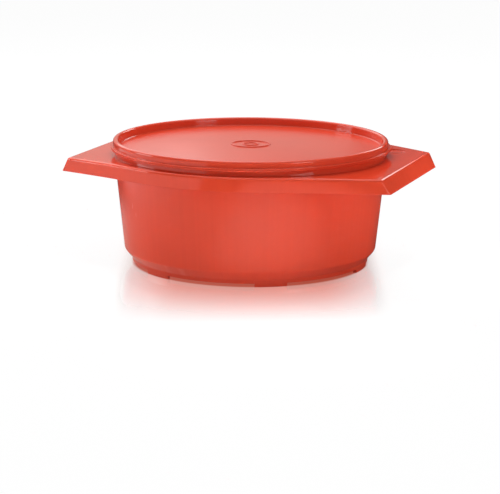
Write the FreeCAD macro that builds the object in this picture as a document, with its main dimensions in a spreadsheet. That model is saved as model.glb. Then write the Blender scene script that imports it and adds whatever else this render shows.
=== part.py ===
"""Round tortilla warmer: a tapered bowl with two flat handles and a press-on lid.

Two mouldings.  The base is the bowl, its flange with the two handles, the neck that carries
the lid, and the foot ring.  The lid is a sunken panel inside a raised rim, whose channel
closes over the neck.  Units are millimetres, +X runs along the handles, +Z is up, and the
origin is the centre of the circle that the feet stand on.
"""
import FreeCAD, Part
import math
import os
import re

import Sketcher
from FreeCAD import Placement, Rotation, Vector

SIZES = [
    # the bowl
    ("neck_radius", 114.6, "outside of the wall at the deck, and of the neck above it"),
    ("neck_rise", 10.1, "deck up to the rim that the lid closes on"),
    ("neck_wall", 1.6, "thickness of the neck"),
    ("neck_blend", 0.8, "rounding where the neck rises from the deck"),
    ("wall", 2.2, "thickness of the bowl wall at its foot"),
    ("bowl_base_radius", 106.7, "outside of the wall where the bevel starts"),
    ("bevel_top", 13.4, "height where the wall turns in to the foot ring"),
    ("bevel_inset", 6.2, "how much further in the foot ring is than the wall"),
    ("bevel_angle", 40.0, "slope of the bevel, in degrees from the vertical"),
    ("bevel_blend", 4.5, "rounding between the wall and the bevel"),
    ("floor_bottom", 5.0, "height of the underside of the floor"),
    ("floor_thickness", 2.4, "thickness of the floor"),
    ("floor_blend", 4.0, "rounding inside the bowl, around the floor"),
    ("rim_edge", 0.5, "rounding of the neck's top edges"),
    # the foot ring
    ("ring_draft", 5.0, "draft of the foot ring, in degrees"),
    ("ring_wall", 2.6, "thickness of the foot ring"),
    ("foot_height", 2.8, "how far the feet reach below the ring"),
    ("foot_count", 6, "number of feet"),
    ("foot_arc", 15.5, "angle that one foot takes up, in degrees"),
    # the ribs that keep the food off the floor
    ("rib_count", 12, "number of ribs on the floor"),
    ("rib_inner", 26.0, "centre of the floor to a rib"),
    ("rib_gap", 17.0, "end of a rib to the corner around the floor"),
    ("rib_width", 2.4, "width of a rib"),
    ("rib_height", 1.2, "height of a rib above the floor"),
    # the flange and its two handles
    ("flange_overhang", 6.9, "neck to the flange's outside, front and back"),
    ("handle_reach", 143.8, "centre to the skirt's lower edge at a handle's end"),
    ("side_taper", 24.6, "slope of a handle's side, in degrees from the handle axis"),
    ("end_splay", 30.5, "slope of a handle's end face, in degrees from the vertical"),
    ("deck_height", 93.7, "top of the flange at the middle"),
    ("deck_droop", 2.5, "how much lower the top is at a handle's end"),
    ("skirt_height", 11.9, "height of the skirt around the flange"),
    ("flange_wall", 2.1, "thickness of the flange and skirt"),
    ("crease_radius", 2.2, "rounding of the flange's upper outline and its four corners"),
    ("dish_radius", 11.3, "radius of the dish on one handle that lets a thumb under the pull tab"),
    ("dish_reach", 19.1, "neck to the far side of the dish"),
    ("dish_clearance", 1.6, "neck to the near side of the dish"),
    ("dish_angle", 28.1, "direction of the dish, in degrees from the handle axis"),
    ("dish_depth", 1.0, "depth of the dish"),
    # the lid
    ("lid_clearance", 0.3, "gap between the neck and each side of the lid's channel"),
    ("lid_wall", 1.1, "thickness of the lid's two rim walls"),
    ("lid_roof", 1.8, "thickness of the lid above the neck"),
    ("rim_blend", 1.9, "rounding of the top of the lid's rim"),
    ("panel_depth", 6.8, "top of the rim down to the panel's edge"),
    ("panel_crown", 1.7, "how much higher the panel is at its middle than at its edge"),
    ("panel_thickness", 1.6, "thickness of the panel"),
    ("panel_inset", 0.6, "how much further in the rim's inner wall is at the panel"),
    ("panel_blend", 0.7, "rounding where the panel meets the rim"),
    ("lip_reach", 2.0, "how far the lip stands out from the rim's outer wall"),
    ("lip_thickness", 2.5, "height of the lip"),
    ("lip_gap", 3.9, "deck up to the lip"),
    ("lip_edge", 0.7, "rounding of the lip's and tab's edges"),
    ("lip_groove", 0.5, "size of the groove around the lip's edge"),
    ("medallion_radius", 16.8, "outside radius of the low ridge around the middle of the panel"),
    ("medallion_ridge_width", 1.5, "width of the ridge"),
    ("medallion_ridge_height", 0.7, "height of the ridge"),
    ("medallion_ring_radius", 5.5, "inside radius of the small ring inside the ridge"),
    ("medallion_ring_width", 1.5, "width of the small ring"),
    ("medallion_ring_height", 0.6, "height of the small ring"),
    ("tab_radius", 34.0, "radius of the pull tab's outline"),
    ("tab_reach", 1.6, "how far the pull tab stands out from the lip"),
    ("tab_angle", 16.5, "direction of the pull tab, in degrees from the handle axis"),
]

doc = FreeCAD.newDocument("TortillaWarmer")
sheet = doc.addObject("Spreadsheet::Sheet", "Sizes")
for row, (alias, size, meaning) in enumerate(SIZES, 1):
    sheet.set("A%d" % row, meaning)
    sheet.set("B%d" % row, str(size))
    sheet.setAlias("B%d" % row, alias)
doc.recompute()

# Sizes that follow from the sheet, as formulas in its names.
RING_RADIUS = "(bowl_base_radius - bevel_inset)"
BEVEL_BOTTOM = "(bevel_top - bevel_inset / tan(bevel_angle))"
BEVEL_WALL = "(wall / cos(bevel_angle))"
RING_FOOT_RADIUS = "(%s - %s * tan(ring_draft))" % (RING_RADIUS, BEVEL_BOTTOM)
RING_BORE = "(%s - ring_wall)" % RING_FOOT_RADIUS
FLOOR_TOP = "(floor_bottom + floor_thickness)"
FLOOR_RADIUS = "(%s - %s + (%s - %s) * tan(bevel_angle))" % (RING_RADIUS, BEVEL_WALL, FLOOR_TOP, BEVEL_BOTTOM)
BASE_BORE = "(bowl_base_radius - wall)"
BASE_BORE_HEIGHT = "(bevel_top + (%s - wall) / tan(bevel_angle))" % BEVEL_WALL
NECK_BORE = "(neck_radius - neck_wall)"
NECK_FOOT = "(deck_height - deck_droop - flange_wall)"
NECK_TOP = "(deck_height + neck_rise)"

FLANGE_RADIUS = "(neck_radius + flange_overhang)"
CREASE_REACH = "(handle_reach - skirt_height * tan(end_splay))"
ARCH_RADIUS = "((%s ^ 2 + deck_droop ^ 2) / (2 * deck_droop))" % CREASE_REACH

LID_TOP = "(%s + lid_roof)" % NECK_TOP
PANEL_TOP = "(%s - panel_depth)" % LID_TOP
PANEL_BOTTOM = "(%s - panel_thickness)" % PANEL_TOP
CROWN_TOP = "(%s + panel_crown)" % PANEL_TOP
CROWN_BOTTOM = "(%s - panel_thickness)" % CROWN_TOP
RIDGE_INNER = "(medallion_radius - medallion_ridge_width)"
RIDGE_TOP = "(%s + medallion_ridge_height)" % CROWN_TOP
SMALL_RING_OUTER = "(medallion_ring_radius + medallion_ring_width)"
SMALL_RING_TOP = "(%s + medallion_ring_height)" % CROWN_TOP
CHANNEL_OUTER = "(neck_radius + lid_clearance)"
CHANNEL_INNER = "(%s - lid_clearance)" % NECK_BORE
RIM_OUTER = "(%s + lid_wall)" % CHANNEL_OUTER
RIM_INNER = "(%s - lid_wall)" % CHANNEL_INNER
PANEL_RADIUS = "(%s - panel_inset)" % RIM_INNER
LIP_RADIUS = "(%s + lip_reach)" % RIM_OUTER
LIP_BOTTOM = "(deck_height + lip_gap)"
LIP_MIDDLE = "(%s + lip_thickness / 2)" % LIP_BOTTOM
LIP_TOP = "(%s + lip_thickness)" % LIP_BOTTOM

# How far construction shapes run past what they cut, so that no two faces meet edge to edge.
TRIM_MARGIN = "20"
HOLLOW_OVERRUN = "4"

ALIAS = re.compile(r"\b(%s)\b" % "|".join(name for name, _, _ in SIZES))
NEAR = 1e-3


def sheet_expression(formula):
    """A formula in the sheet's names, as FreeCAD wants it written."""
    return ALIAS.sub(r"Sizes.\1", formula)


def number(formula):
    """What a formula in the sheet's names comes to now."""
    return float(sheet.evalExpression(sheet_expression(formula)))


# ---------------------------------------------------------------- sketches

ORIGIN = (-1, 1)
X_LINE = -1
Y_LINE = -2
START, END, CENTRE = 1, 2, 3


def origin_item(body, role):
    """One of the body's own origin planes or axes."""
    return next(item for item in body.Origin.OriginFeatures if item.Role == role)


def new_sketch(body, name, role, height=None):
    """An empty sketch on one of the body's origin planes, or at a height above it."""
    sketch = body.newObject("Sketcher::SketchObject", name)
    sketch.AttachmentSupport = (origin_item(body, role), "")
    sketch.MapMode = "FlatFace"
    if height:
        sketch.setExpression("AttachmentOffset.Base.z", sheet_expression(height))
    return sketch


def swung_sketch(body, name, height, direction):
    """An empty sketch at a height, whose X axis is swung around by an angle in degrees."""
    sketch = new_sketch(body, name, "XY_Plane")
    sketch.AttachmentOffset = Placement(Vector(0, 0, 0), Rotation(Vector(0, 0, 1), number(direction)))
    sketch.setExpression("AttachmentOffset.Base.z", sheet_expression(height))
    sketch.setExpression("AttachmentOffset.Rotation.Angle", sheet_expression("%s * 1 deg" % direction))
    return sketch


def join(sketch, *pairs):
    """Make pairs of vertices, each (geometry, vertex), coincide."""
    for first, second in pairs:
        sketch.addConstraint(Sketcher.Constraint("Coincident", *first, *second))


def dimension(sketch, kind, ends, formula):
    """A driving length of the sketch, bound to a formula."""
    index = sketch.addConstraint(Sketcher.Constraint(kind, *ends, number(formula)))
    sketch.setExpression("Constraints[%d]" % index, sheet_expression(formula))


def slope(sketch, line, formula):
    """The driving angle of a line, in degrees from the sketch's X axis."""
    index = sketch.addConstraint(Sketcher.Constraint("Angle", line, math.radians(number(formula))))
    sketch.setExpression("Constraints[%d]" % index, sheet_expression("(%s) * 1 deg" % formula))


def pin(sketch, geometry, vertex, across, up):
    """Hold a vertex at a place given by two formulas; "0" holds it on an axis."""
    for kind, axis, formula in (("DistanceX", Y_LINE, across), ("DistanceY", X_LINE, up)):
        if formula == "0":
            sketch.addConstraint(Sketcher.Constraint("PointOnObject", geometry, vertex, axis))
        else:
            dimension(sketch, kind, (*ORIGIN, geometry, vertex), formula)


def closed_lines(sketch, places):
    """A closed run of straight lines through the places."""
    lines = [sketch.addGeometry(Part.LineSegment(start, end), False)
             for start, end in zip(places, places[1:] + places[:1])]
    join(sketch, *[((line, END), (following, START))
                   for line, following in zip(lines, lines[1:] + lines[:1])])
    return lines


def polygon(sketch, corners):
    """A closed run of straight lines whose corners are pairs of formulas."""
    places = [Vector(number(across), number(up), 0) for across, up in corners]
    for line, (across, up) in zip(closed_lines(sketch, places), corners):
        pin(sketch, line, START, across, up)


def square_around(sketch, half_length):
    """A square centred on the origin."""
    half = number(half_length)
    places = [Vector(across * half, up * half, 0)
              for across, up in ((1, 1), (-1, 1), (-1, -1), (1, -1))]
    lines = closed_lines(sketch, places)
    for line, direction in zip(lines, ("Horizontal", "Vertical", "Horizontal", "Vertical")):
        sketch.addConstraint(Sketcher.Constraint(direction, line))
    sketch.addConstraint(Sketcher.Constraint("Symmetric", lines[0], START, lines[2], START, *ORIGIN))
    pin(sketch, lines[0], START, half_length, half_length)


def arc_about(sketch, centre, radius, middle, half_swing):
    """An arc of a circle, given by the angle of its middle and half the angle it covers."""
    circle = Part.Circle(centre, Vector(0, 0, 1), radius)
    return sketch.addGeometry(Part.ArcOfCircle(circle, middle - half_swing, middle + half_swing), False)


def arched_band(sketch, top_inset, foot_drop, foot_reach):
    """Side view of the flange: two arcs about one centre, closed by sloping ends.

    The upper arc lies top_inset under the deck and the lower one foot_drop under it; the
    sloping ends meet the lower arc foot_reach from the middle."""
    arch = number(ARCH_RADIUS)
    centre = Vector(0, number("deck_height") - arch, 0)
    reach = number(foot_reach)
    radii = [arch - number(top_inset), arch - number(foot_drop)]
    crease = reach - (radii[0] - radii[1]) * math.tan(math.radians(number("end_splay")))
    upper, lower = [arc_about(sketch, centre, radius, math.pi / 2, math.asin(half_length / radius))
                    for radius, half_length in zip(radii, (crease, reach))]
    sides = []
    for vertex in (START, END):
        side = sketch.addGeometry(
            Part.LineSegment(sketch.getPoint(lower, vertex), sketch.getPoint(upper, vertex)), False)
        join(sketch, ((side, START), (lower, vertex)), ((side, END), (upper, vertex)))
        sides.append(side)
    join(sketch, ((lower, CENTRE), (upper, CENTRE)))
    sketch.addConstraint(Sketcher.Constraint("PointOnObject", upper, CENTRE, Y_LINE))
    for arc in (upper, lower):
        sketch.addConstraint(Sketcher.Constraint("Horizontal", arc, START, arc, END))
    dimension(sketch, "DistanceY", (upper, CENTRE, *ORIGIN), "(%s - deck_height)" % ARCH_RADIUS)
    dimension(sketch, "Radius", (upper,), "(%s - %s)" % (ARCH_RADIUS, top_inset))
    dimension(sketch, "Radius", (lower,), "(%s - %s)" % (ARCH_RADIUS, foot_drop))
    dimension(sketch, "DistanceX", (*ORIGIN, lower, START), foot_reach)
    slope(sketch, sides[0], "90 + end_splay")


def six_sided_outline(sketch, radius, reach):
    """Plan of the flange: a circle front and back, and straight sides that run on from it,
    tangent, to the two ends."""
    taper = math.radians(number("side_taper"))
    round_part = number(radius)
    half_length = number(reach)
    half_width = (round_part - half_length * math.sin(taper)) / math.cos(taper)
    touch_x = round_part * math.sin(taper)
    touch_y = round_part * math.cos(taper)
    back, front = [arc_about(sketch, Vector(0, 0, 0), round_part, middle, taper)
                   for middle in (math.pi / 2, 3 * math.pi / 2)]
    join(sketch, ((back, CENTRE), ORIGIN), ((front, CENTRE), ORIGIN))
    sketch.addConstraint(Sketcher.Constraint("Equal", back, front))
    dimension(sketch, "Radius", (back,), radius)

    def side(*ends):
        start, end = [Vector(across, up, 0) for across, up in ends]
        return sketch.addGeometry(Part.LineSegment(start, end), False)

    right_back = side((touch_x, touch_y), (half_length, half_width))
    right_end = side((half_length, half_width), (half_length, -half_width))
    right_front = side((half_length, -half_width), (touch_x, -touch_y))
    left_front = side((-touch_x, -touch_y), (-half_length, -half_width))
    left_end = side((-half_length, -half_width), (-half_length, half_width))
    left_back = side((-half_length, half_width), (-touch_x, touch_y))
    for line, vertex, arc, arc_vertex in ((right_back, START, back, START), (left_back, END, back, END),
                                          (left_front, START, front, START),
                                          (right_front, END, front, END)):
        sketch.addConstraint(Sketcher.Constraint("Tangent", line, vertex, arc, arc_vertex))
    join(sketch, *[((line, END), (following, START))
                   for line, following in ((right_back, right_end), (right_end, right_front),
                                           (left_front, left_end), (left_end, left_back))])
    for first, second, mirror in (((right_end, START), (right_end, END), X_LINE),
                                  ((left_end, START), (left_end, END), X_LINE),
                                  ((right_end, START), (left_end, END), Y_LINE)):
        sketch.addConstraint(Sketcher.Constraint("Symmetric", *first, *second, mirror))
    dimension(sketch, "DistanceX", (*ORIGIN, right_end, START), reach)
    slope(sketch, left_back, "side_taper")


def bow_outline(sketch, root_radius, bow_radius, bow_centre):
    """A bow: an arc about the origin, closed by an arc that bulges further out."""
    root, bow, offset = number(root_radius), number(bow_radius), number(bow_centre)
    meet_x = (root ** 2 - bow ** 2 + offset ** 2) / (2 * offset)
    meet_y = math.sqrt(root ** 2 - meet_x ** 2)
    root_arc = arc_about(sketch, Vector(0, 0, 0), root, 0, math.atan2(meet_y, meet_x))
    bow_arc = arc_about(sketch, Vector(offset, 0, 0), bow, 0, math.atan2(meet_y, meet_x - offset))
    join(sketch, ((root_arc, CENTRE), ORIGIN), ((root_arc, START), (bow_arc, START)),
         ((root_arc, END), (bow_arc, END)))
    dimension(sketch, "Radius", (root_arc,), root_radius)
    dimension(sketch, "Radius", (bow_arc,), bow_radius)
    pin(sketch, bow_arc, CENTRE, bow_centre, "0")


# ---------------------------------------------------------------- features


def feature(body, kind, name, **settings):
    """A PartDesign feature at the end of the body; text in a size is a formula."""
    item = body.newObject("PartDesign::" + kind, name)
    for setting, content in settings.items():
        if isinstance(content, str) and setting in ("Length", "Angle", "Radius", "Occurrences"):
            item.setExpression(setting, sheet_expression(content))
        else:
            setattr(item, setting, content)
    doc.recompute()
    return item


def cut_feature(body, kind, name, **settings):
    """A feature that must take something away."""
    before = body.Shape.Volume
    item = feature(body, kind, name, **settings)
    if body.Shape.Volume >= before - NEAR:
        raise ValueError("%s cut nothing" % name)
    return item


def turned(body, kind, name, corners, role="XZ_Plane", **settings):
    """A closed profile turned about the vertical axis, to add or to cut."""
    sketch = new_sketch(body, name + "_profile", role)
    polygon(sketch, corners)
    make = cut_feature if kind == "Groove" else feature
    return make(body, kind, name, Profile=sketch, ReferenceAxis=(sketch, ["V_Axis"]), **settings)


def rounded(body, name, is_wanted, radius):
    """Fillet the edges of the body that the test picks out."""
    base = body.Tip
    names = ["Edge%d" % index for index, edge in enumerate(base.Shape.Edges, 1)
             if not edge.Degenerated and is_wanted(edge)]
    if not names:
        raise ValueError("no edges for " + name)
    return feature(body, "Fillet", name, Base=(base, names), Radius=radius)


def rings(*places):
    """A test for round edges about the vertical axis, at pairs of radius and height formulas."""
    wanted = [(number(radius), number(height)) for radius, height in places]

    def is_wanted(edge):
        curve = edge.Curve
        if not isinstance(curve, Part.Circle) or math.hypot(curve.Center.x, curve.Center.y) > NEAR:
            return False
        return any(abs(curve.Radius - radius) < NEAR and abs(curve.Center.z - height) < NEAR
                   for radius, height in wanted)

    return is_wanted


def around(body, name, original, count):
    """Repeat a feature evenly about the vertical axis."""
    pattern = feature(body, "PolarPattern", name, Originals=[original],
                      Axis=(origin_item(body, "Z_Axis"), [""]), Angle=360, Occurrences=count)
    body.Tip = pattern
    doc.recompute()


# ---------------------------------------------------------------- the base


def flange_blank(body, top_inset, foot_drop, foot_reach, plan_radius):
    """The flange as a solid: its side view run across, then trimmed to its plan."""
    side_view = new_sketch(body, body.Name + "_side_view", "XZ_Plane")
    arched_band(side_view, top_inset, foot_drop, foot_reach)
    feature(body, "Pad", body.Name + "_band", Profile=side_view, SideType="Symmetric",
            Length="2 * (%s + %s)" % (FLANGE_RADIUS, TRIM_MARGIN))
    plan = new_sketch(body, body.Name + "_plan", "XY_Plane")
    square_around(plan, "(handle_reach + 2 * %s)" % TRIM_MARGIN)
    six_sided_outline(plan, plan_radius, "(handle_reach + %s)" % TRIM_MARGIN)
    cut_feature(body, "Pocket", body.Name + "_trim", Profile=plan, Type="ThroughAll", SideType="Symmetric")


def on_deck(point):
    """True for a point on the arched top of the flange."""
    arch = number(ARCH_RADIUS)
    return abs(math.hypot(point.x, point.z - number("deck_height") + arch) - arch) < NEAR


def is_crease(edge):
    """True for the flange's upper outline and its four corner edges."""
    ends = [vertex.Point for vertex in edge.Vertexes]
    at_end = all(abs(point.x) > number(CREASE_REACH) - NEAR for point in ends)
    return all(map(on_deck, ends)) or any(map(on_deck, ends)) and at_end


def is_neck_foot(edge):
    """True for the line where the neck rises from the deck."""
    return all(on_deck(vertex.Point)
               and abs(math.hypot(vertex.Point.x, vertex.Point.y) - number("neck_radius")) < NEAR
               for vertex in edge.Vertexes)


def add_feet(body):
    """Cut the foot ring away between the feet.  Feet stand on the handle axis, so the middle of
    one cut is square to it."""
    reach = "(%s + ring_wall)" % RING_RADIUS
    bore = "(%s - ring_wall)" % RING_BORE
    notch = turned(body, "Groove", "foot_notch", [
        (bore, "-foot_height"),
        (reach, "-foot_height"),
        (reach, "foot_height"),
        (bore, "foot_height"),
    ], role="YZ_Plane", Midplane=True, Angle="(360 / foot_count - foot_arc)")
    around(body, "foot_notches", notch, "foot_count")


def add_ribs(body):
    """Low ribs on the floor, which start halfway down in its thickness."""
    outline = new_sketch(body, "rib_outline", "XY_Plane", "(floor_bottom + floor_thickness / 2)")
    outer = "(%s - rib_gap)" % FLOOR_RADIUS
    polygon(outline, [
        ("rib_inner", "(-rib_width / 2)"),
        (outer, "(-rib_width / 2)"),
        (outer, "(rib_width / 2)"),
        ("rib_inner", "(rib_width / 2)"),
    ])
    rib = feature(body, "Pad", "rib", Profile=outline, Length="(floor_thickness / 2 + rib_height)")
    around(body, "ribs", rib, "rib_count")


def add_dish(body):
    """A shallow dish with a flat floor, sunk into one handle beside the neck."""
    middle = "(neck_radius + dish_reach - dish_radius)"
    across = "(%s * cos(dish_angle))" % middle
    floor = "(deck_height - %s + sqrt(%s ^ 2 - %s ^ 2) - dish_depth)" % (ARCH_RADIUS, ARCH_RADIUS, across)
    outline = swung_sketch(body, "dish_outline", floor, "dish_angle")
    bow_outline(outline, "(neck_radius + dish_clearance)", "dish_radius", middle)
    cut_feature(body, "Pocket", "dish", Profile=outline, Type="ThroughAll", Reversed=True)


def make_base():
    """The bowl, its flange and handles, its neck and its foot ring, in one moulding."""
    hollow = doc.addObject("PartDesign::Body", "flange_hollow")
    flange_blank(hollow, "flange_wall", "(skirt_height + %s)" % HOLLOW_OVERRUN,
                 "(handle_reach - flange_wall / cos(end_splay) + %s * tan(end_splay))" % HOLLOW_OVERRUN,
                 "(%s - flange_wall)" % FLANGE_RADIUS)

    body = doc.addObject("PartDesign::Body", "base")
    flange_blank(body, "0", "skirt_height", "handle_reach", FLANGE_RADIUS)
    rounded(body, "crease", is_crease, "crease_radius")
    solid_volume = body.Shape.Volume
    hollow_cut = body.newObject("PartDesign::Boolean", "hollow_cut")
    hollow_cut.setObjects([hollow])
    hollow_cut.Type = "Cut"
    doc.recompute()
    if body.Shape.Volume >= solid_volume - NEAR:
        raise ValueError("the flange was not hollowed")

    turned(body, "Revolution", "bowl", [
        ("0", "floor_bottom"),
        (RING_BORE, "floor_bottom"),
        (RING_BORE, "0"),
        (RING_FOOT_RADIUS, "0"),
        (RING_RADIUS, BEVEL_BOTTOM),
        ("bowl_base_radius", "bevel_top"),
        ("neck_radius", NECK_FOOT),
        ("neck_radius", NECK_TOP),
        ("0", NECK_TOP),
    ])
    turned(body, "Groove", "bowl_inside", [
        ("0", FLOOR_TOP),
        (FLOOR_RADIUS, FLOOR_TOP),
        (BASE_BORE, BASE_BORE_HEIGHT),
        (NECK_BORE, NECK_FOOT),
        (NECK_BORE, NECK_TOP),
        ("0", NECK_TOP),
    ])
    rounded(body, "neck_foot", is_neck_foot, "neck_blend")
    rounded(body, "bevel_rounding", rings(("bowl_base_radius", "bevel_top")), "bevel_blend")
    rounded(body, "floor_rounding", rings((FLOOR_RADIUS, FLOOR_TOP), (BASE_BORE, BASE_BORE_HEIGHT)),
            "floor_blend")
    rounded(body, "rim_rounding", rings(("neck_radius", NECK_TOP), (NECK_BORE, NECK_TOP)), "rim_edge")
    add_feet(body)
    add_ribs(body)
    add_dish(body)
    return body


# ---------------------------------------------------------------- the lid


def add_pull_tab(body):
    """A shallow bow that grows out of the lip.  Its inner side is an arc inside the rim's outer
    wall, so that it joins the lip along its whole length."""
    outline = swung_sketch(body, "tab_outline", LIP_BOTTOM, "tab_angle")
    bow_outline(outline, "(%s - lid_wall / 2)" % RIM_OUTER, "tab_radius",
                "(%s + tab_reach - tab_radius)" % LIP_RADIUS)
    feature(body, "Pad", "pull_tab", Profile=outline, Length="lip_thickness")


def is_tab_edge(edge):
    """True for the two long edges of the pull tab."""
    return isinstance(edge.Curve, Part.Circle) and abs(edge.Curve.Radius - number("tab_radius")) < NEAR


def make_lid():
    """The sunken panel, the rim with its channel for the neck, the lip and the pull tab."""
    body = doc.addObject("PartDesign::Body", "lid")
    turned(body, "Revolution", "shell", [
        ("0", CROWN_BOTTOM),
        ("medallion_radius", CROWN_BOTTOM),
        (CHANNEL_INNER, PANEL_BOTTOM),
        (CHANNEL_INNER, NECK_TOP),
        (CHANNEL_OUTER, NECK_TOP),
        (CHANNEL_OUTER, LIP_BOTTOM),
        (LIP_RADIUS, LIP_BOTTOM),
        (LIP_RADIUS, "(%s - lip_groove / 2)" % LIP_MIDDLE),
        ("(%s - lip_groove)" % LIP_RADIUS, LIP_MIDDLE),
        (LIP_RADIUS, "(%s + lip_groove / 2)" % LIP_MIDDLE),
        (LIP_RADIUS, LIP_TOP),
        (RIM_OUTER, LIP_TOP),
        (RIM_OUTER, LID_TOP),
        (RIM_INNER, LID_TOP),
        (PANEL_RADIUS, PANEL_TOP),
        ("medallion_radius", CROWN_TOP),
        ("medallion_radius", RIDGE_TOP),
        (RIDGE_INNER, RIDGE_TOP),
        (RIDGE_INNER, CROWN_TOP),
        (SMALL_RING_OUTER, CROWN_TOP),
        (SMALL_RING_OUTER, SMALL_RING_TOP),
        ("medallion_ring_radius", SMALL_RING_TOP),
        ("medallion_ring_radius", CROWN_TOP),
        ("0", CROWN_TOP),
    ])
    rounded(body, "rim_top", rings((RIM_OUTER, LID_TOP), (RIM_INNER, LID_TOP)), "rim_blend")
    rounded(body, "panel_corner", rings((PANEL_RADIUS, PANEL_TOP)), "panel_blend")
    add_pull_tab(body)
    on_lip = rings((LIP_RADIUS, LIP_TOP), (LIP_RADIUS, LIP_BOTTOM))
    rounded(body, "lip_edges", lambda edge: on_lip(edge) or is_tab_edge(edge), "lip_edge")
    return body


# ---------------------------------------------------------------- check and write

parts = {"base": make_base(), "lid": make_lid()}
for item in doc.Objects:
    if "Invalid" in item.State or "Error" in item.State:
        raise ValueError("%s failed: %s" % (item.Name, item.State))
os.makedirs("parts", exist_ok=True)
for label, body in parts.items():
    body.Label = label
    shape = body.Shape
    if shape.isNull() or not shape.isValid() or len(shape.Solids) != 1:
        raise ValueError("%s is not one sound solid" % label)
    shape.exportStep("parts/%s.step" % label)
    print("%s: %.1f cm3" % (label, shape.Volume / 1000), shape.optimalBoundingBox())
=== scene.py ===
# %% [markdown]
# # Dressing a round tortilla warmer
#
# The object is a kitchen keeper for warm tortillas: a round bowl with a flat flange that runs
# out into two handles, and a lid that presses on.  Both are injection mouldings in the same
# coral red polypropylene, so nearly all of the look is in how smooth curved skins catch large,
# soft lights.  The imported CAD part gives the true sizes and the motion.  Here each of its two
# pieces is replaced by a skin with rounded edges, and the scene around it is a plain bright
# table.
#
# The file is a lesson: each step says first what is made and why it is made that way.

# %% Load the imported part
import math

import bmesh
import bpy
from mathutils import Matrix, Vector


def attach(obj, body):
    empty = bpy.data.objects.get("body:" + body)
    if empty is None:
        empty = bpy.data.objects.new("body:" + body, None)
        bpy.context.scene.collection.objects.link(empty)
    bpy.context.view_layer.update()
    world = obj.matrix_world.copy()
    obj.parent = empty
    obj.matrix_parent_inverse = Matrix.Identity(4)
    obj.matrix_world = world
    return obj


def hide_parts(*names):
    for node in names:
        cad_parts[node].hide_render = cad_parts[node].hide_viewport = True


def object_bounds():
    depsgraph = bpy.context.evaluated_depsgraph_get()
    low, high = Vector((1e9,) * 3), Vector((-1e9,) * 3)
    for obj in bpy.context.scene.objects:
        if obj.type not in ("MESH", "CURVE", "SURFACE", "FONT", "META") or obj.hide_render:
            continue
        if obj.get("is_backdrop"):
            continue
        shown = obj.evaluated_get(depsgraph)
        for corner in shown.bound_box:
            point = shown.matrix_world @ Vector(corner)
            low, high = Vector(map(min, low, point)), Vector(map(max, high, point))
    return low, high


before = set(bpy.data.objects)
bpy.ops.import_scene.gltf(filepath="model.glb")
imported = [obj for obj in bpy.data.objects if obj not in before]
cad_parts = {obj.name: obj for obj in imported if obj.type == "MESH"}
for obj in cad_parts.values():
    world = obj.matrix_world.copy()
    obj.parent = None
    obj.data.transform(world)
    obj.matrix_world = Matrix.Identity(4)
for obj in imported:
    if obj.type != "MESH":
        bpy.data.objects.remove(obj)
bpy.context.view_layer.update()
print("CAD nodes:", sorted(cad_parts))

# %% [markdown]
# ## Skins from rings
#
# A moulding like this could be made by subdividing a rough cage, by bevelling a sharp model,
# or by stacking rings of points and joining each ring to the next with a band of quads.  The
# rings are the best fit here.  Every part of the surface follows a closed line around the
# bowl, from the middle of the underside, out over the handles, and back in to the middle of
# the floor.  As long as all rings have the same number of points, a round ring can turn into
# the six-sided ring of the handles without a seam.
#
# Sizes are in millimetres, as a drawing of such a piece would give them, and are scaled to
# metres only when a point becomes a vertex.  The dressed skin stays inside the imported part, so
# its outermost sizes are a hair less.

# %% Join rings into one closed skin
MM = 0.001
SHY = 0.02
SAME_PLACE = 1e-7


def skin_from_rings(name, rings, start, finish):
    """A closed mesh: quads between the rings, and a fan of triangles to a pole at each end."""
    skin = bmesh.new()
    loops = [[skin.verts.new(point * MM) for point in ring] for ring in rings]
    count = len(loops[0])
    for near, far in zip(loops, loops[1:]):
        for i in range(count):
            j = (i + 1) % count
            skin.faces.new((near[i], near[j], far[j], far[i]))
    for pole_place, loop in ((start, loops[0]), (finish, loops[-1])):
        pole = skin.verts.new(pole_place * MM)
        for i in range(count):
            skin.faces.new((loop[i], loop[(i + 1) % count], pole))
    bmesh.ops.remove_doubles(skin, verts=skin.verts, dist=SAME_PLACE)
    bmesh.ops.recalc_face_normals(skin, faces=skin.faces)
    data = bpy.data.meshes.new(name)
    skin.to_mesh(data)
    skin.free()
    piece = bpy.data.objects.new(name, data)
    bpy.context.scene.collection.objects.link(piece)
    return piece


print("1 mm is", MM, "m; the skin keeps", SHY, "mm inside the packed part")

# %% [markdown]
# ## Rounded corners
#
# No edge of a moulding is perfectly sharp, and it is the narrow rounding along an edge that
# catches a bright line.  A bevel modifier could add it, but its width would be hard to steer
# where three surfaces meet.  Instead each profile is written as its sharp corners, each with
# the radius of its rounding, and this helper turns a corner into a short run of points.  One
# extra point is held a little way out on each side of the arc, so that smooth shading stays
# inside the rounding and the flat beside it stays flat.

# %% Turn the corners of a profile into arcs
HOLD = 0.12


def eased(corners, steps=5):
    """Points along a profile whose corners are (across, up) or (across, up, rounding)."""
    path = [Vector(corners[0][:2])]
    for before, here, after in zip(corners, corners[1:], corners[2:]):
        place = Vector(here[:2])
        if len(here) < 3:
            path.append(place)
            continue
        back = Vector(before[:2]) - place
        ahead = Vector(after[:2]) - place
        turn = math.pi - back.angle(ahead)
        room = 0.48 * min(back.length, ahead.length)
        reach = min(here[2] * math.tan(turn / 2), room - HOLD / 2)
        back.normalize()
        ahead.normalize()
        first = place + back * reach
        middle = place + (back + ahead).normalized() * (reach / math.sin(turn / 2))
        swing = math.copysign(turn, -back.cross(ahead))
        path.append(first + back * min(HOLD, room - reach))
        for step in range(steps + 1):
            path.append(middle + Matrix.Rotation(swing * step / steps, 2) @ (first - middle))
        path.append(place + ahead * (reach + min(HOLD, room - reach)))
    path.append(Vector(corners[-1][:2]))
    return path


print("a square corner eased by 1 mm:",
      [tuple(round(v, 2) for v in point) for point in eased([(0, 0), (5, 0, 1), (5, 5)], 3)])

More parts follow.
